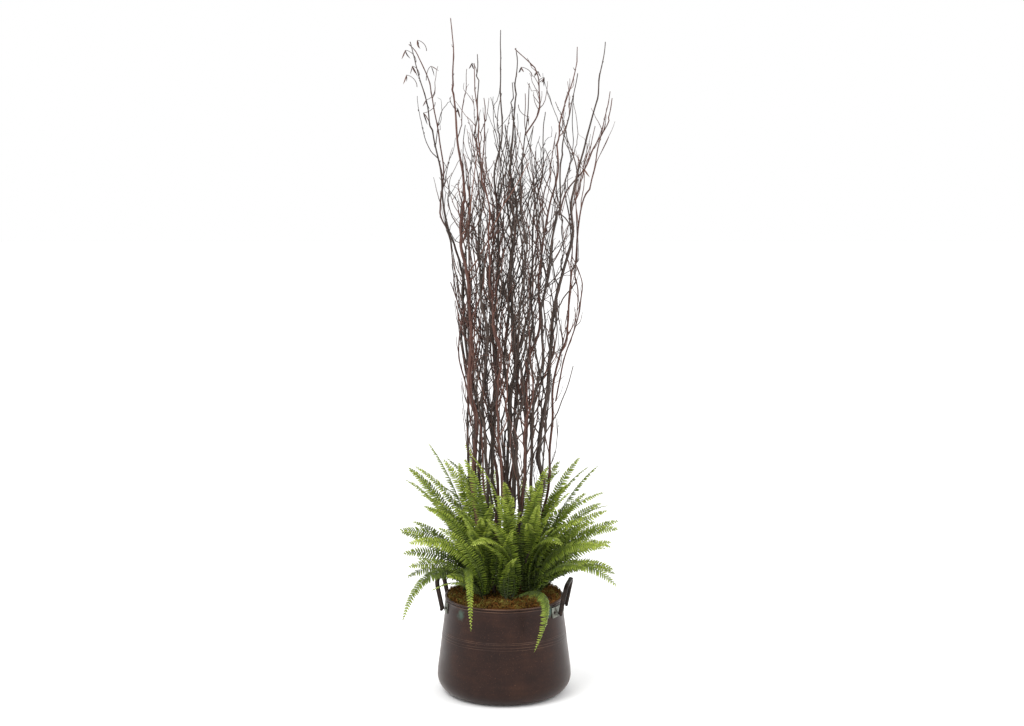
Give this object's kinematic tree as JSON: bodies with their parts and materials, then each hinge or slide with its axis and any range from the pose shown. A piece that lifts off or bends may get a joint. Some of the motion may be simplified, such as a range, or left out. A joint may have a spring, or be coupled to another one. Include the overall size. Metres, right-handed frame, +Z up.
{
  "type": "potted boston fern",
  "caption": "Flared metal tub with upright side handles, planted with boston ferns round a tall bundle of crooked bare branches, with moss on the soil.",
  "frame": {"origin": "centre of the tub's flat base, on the surface it stands on", "axes": "+Z up along the tub's axis, +X to the side of the right handle, -Y towards the front"},
  "size_m": [0.6308, 0.5858, 1.966],
  "materials": {
    "tub_bronze": "satin",
    "iron": "satin",
    "worn_ear": "matte",
    "soil": "matte",
    "moss": "matte",
    "rootstock": "matte",
    "fern_leaf": "satin",
    "red_bark": "matte",
    "grey_bark": "matte"
  },
  "bodies": {
    "root": {"tub": "tub_bronze", "ear_plate_right": "worn_ear", "handle_right": "iron", "ear_plate_left": "worn_ear", "handle_left": "iron", "rivet_right_a": "iron", "rivet_right_b": "iron", "rivet_left_a": "iron", "rivet_left_b": "iron", "potting_soil": "soil", "moss_mat": "moss", "fern_crown_1": "rootstock", "fern_crown_2": "rootstock", "fern_crown_3": "rootstock", "fern_crown_4": "rootstock", "fern_crown_5": "rootstock", "fern_crown_6": "rootstock", "fern_crown_7": "rootstock", "branch_01": "red_bark", "branch_02": "grey_bark", "branch_03": "grey_bark", "branch_04": "red_bark", "branch_05": "grey_bark", "branch_06": "grey_bark", "branch_07": "red_bark", "branch_08": "grey_bark", "branch_09": "grey_bark", "branch_10": "red_bark", "branch_11": "grey_bark", "branch_12": "grey_bark", "branch_13": "red_bark", "branch_14": "grey_bark", "branch_15": "grey_bark", "branch_16": "red_bark", "frond_01": "fern_leaf", "frond_02": "fern_leaf", "frond_03": "fern_leaf", "frond_04": "fern_leaf", "frond_05": "fern_leaf", "frond_06": "fern_leaf", "frond_07": "fern_leaf", "frond_08": "fern_leaf", "frond_09": "fern_leaf", "frond_10": "fern_leaf", "frond_11": "fern_leaf", "frond_12": "fern_leaf", "frond_13": "fern_leaf", "frond_14": "fern_leaf", "frond_15": "fern_leaf", "frond_16": "fern_leaf", "frond_17": "fern_leaf", "frond_18": "fern_leaf", "frond_19": "fern_leaf", "frond_20": "fern_leaf", "frond_21": "fern_leaf", "frond_22": "fern_leaf", "frond_23": "fern_leaf", "frond_24": "fern_leaf"}
  },
  "joints": []
}
